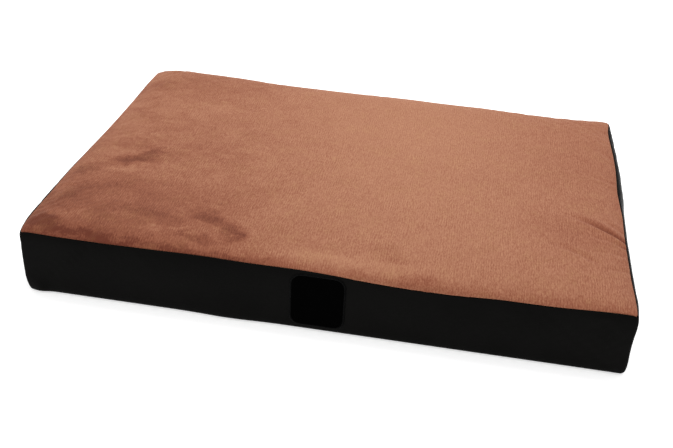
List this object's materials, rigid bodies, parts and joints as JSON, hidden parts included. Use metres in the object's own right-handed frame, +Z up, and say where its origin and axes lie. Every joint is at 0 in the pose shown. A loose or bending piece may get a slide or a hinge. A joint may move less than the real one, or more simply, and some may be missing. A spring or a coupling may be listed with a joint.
{
  "type": "pet cushion bed",
  "caption": "Flat rectangular pet bed: a foam core in a zipped boxed cover with a plush top panel, coated-fabric walls and a blank label on the front wall.",
  "frame": {"origin": "on the floor under the middle of the bed", "axes": "+X along the bed's length, +Y from the label side to the zip side, +Z up"},
  "size_m": [1, 0.7023, 0.129],
  "materials": {
    "plush": "short-pile copper-brown plush",
    "coated_fabric": "black coated fabric, satin",
    "grip_fabric": "black woven non-slip base",
    "label_fabric": "black, blank",
    "care_label": "white satin, blank",
    "support_foam": "open-cell foam",
    "memory_foam": "open-cell memory foam",
    "zip_tape": "black woven tape",
    "zip_coil": "black nylon",
    "zip_metal": "black nickel"
  },
  "bodies": {
    "bed": {"top_panel": "plush", "front_wall": "coated_fabric", "right_wall": "coated_fabric", "left_wall": "coated_fabric", "back_wall_upper": "coated_fabric", "back_wall_lower": "coated_fabric", "bottom_panel": "grip_fabric", "front_label": "label_fabric", "care_label": "care_label", "foam_base": "support_foam", "foam_topper": "memory_foam", "zip_tape_upper": "zip_tape", "zip_tape_lower": "zip_tape", "zip_coil_upper": "zip_coil", "zip_coil_lower": "zip_coil", "zip_end_tab_right": "coated_fabric", "zip_end_tab_left": "coated_fabric"},
    "slider": {"zip_slider": "zip_metal"},
    "pull": {"zip_pull": "zip_metal"}
  },
  "joints": [
    {"name": "zip_slide", "type": "slide", "parent": "bed", "child": "slider", "axis": [-1, 0, 0], "range_m": [0, 0.867]},
    {"name": "pull_swing", "type": "hinge", "parent": "slider", "child": "pull", "pos_m": [0.4338, 0.34765, 0.048], "axis": [0, 0, -1], "range_deg": [0, 165]}
  ]
}
